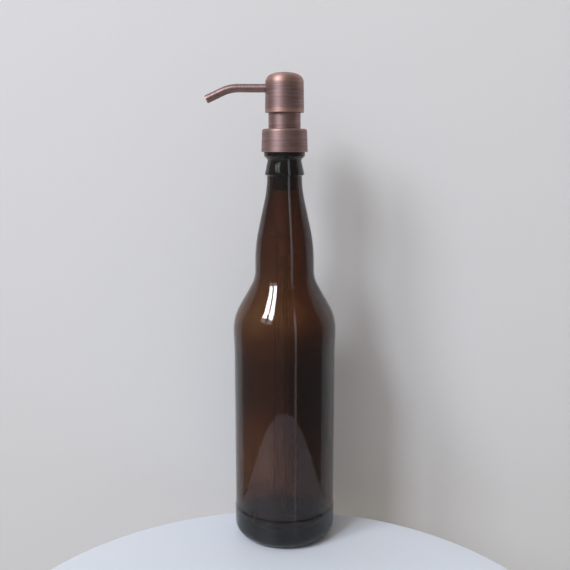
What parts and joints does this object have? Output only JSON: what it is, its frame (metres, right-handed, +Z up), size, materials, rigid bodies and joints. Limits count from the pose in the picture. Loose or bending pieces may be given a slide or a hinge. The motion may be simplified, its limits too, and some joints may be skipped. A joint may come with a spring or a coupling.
{
  "type": "soap pump dispenser",
  "caption": "Amber glass long-neck bottle with an antique-copper soap pump: domed head that presses down and swivels, bent spout, neck sleeve and collar on a stopper that lifts out.",
  "frame": {"origin": "centre of the bottle's bearing ring, in the plane it stands on", "axes": "+Z up along the bottle's axis, -X along the spout, +Y to the back"},
  "size_m": [0.0853, 0.0682, 0.3103],
  "materials": {
    "amber_glass": "blown amber glass, glossy",
    "antique_copper": "copper plate, darkened and brushed round the axis, worn at the edges",
    "black_rubber": "moulded, satin",
    "white_plastic": "moulded polypropylene, satin",
    "clear_tube": "extruded polyethylene, translucent",
    "soft_seal": "moulded elastomer, satin",
    "spring_steel": "drawn stainless wire",
    "ball_steel": "polished stainless steel"
  },
  "bodies": {
    "bottle": {"bottle": "amber_glass"},
    "pump": {"stopper": "black_rubber", "collar_shell": "antique_copper", "collar_insert": "white_plastic", "chamber_gasket": "soft_seal", "pump_chamber": "white_plastic", "stem_guide": "white_plastic", "stem_seal": "soft_seal", "neck_sleeve": "antique_copper", "ball_cage": "white_plastic", "dip_tube": "clear_tube", "return_spring": "spring_steel"},
    "plunger": {"pump_stem": "white_plastic", "piston": "soft_seal"},
    "head": {"head_shell": "antique_copper", "head_core": "white_plastic", "spout_tube": "antique_copper", "spout_seal": "soft_seal"},
    "inlet_ball": {"inlet_ball": "ball_steel"},
    "outlet_ball": {"outlet_ball": "ball_steel"}
  },
  "joints": [
    {"name": "pump_pull_out", "type": "slide", "parent": "bottle", "child": "pump", "axis": [0, 0, 1], "range_m": [0, 0.26]},
    {"name": "head_press", "type": "slide", "parent": "pump", "child": "plunger", "axis": [0, 0, -1], "range_m": [0, 0.0095], "stiffness_N_per_m": 1400, "springref_m": -0.003, "deforming": ["return_spring"]},
    {"name": "head_swivel", "type": "hinge", "parent": "plunger", "child": "head", "pos_m": [0, 0, 0.2974], "axis": [0, 0, 1], "continuous": true},
    {"name": "inlet_ball_lift", "type": "slide", "parent": "pump", "child": "inlet_ball", "axis": [0, 0, 1], "range_m": [0, 0.0015]},
    {"name": "outlet_ball_lift", "type": "slide", "parent": "plunger", "child": "outlet_ball", "axis": [0, 0, 1], "range_m": [0, 0.0012]}
  ]
}
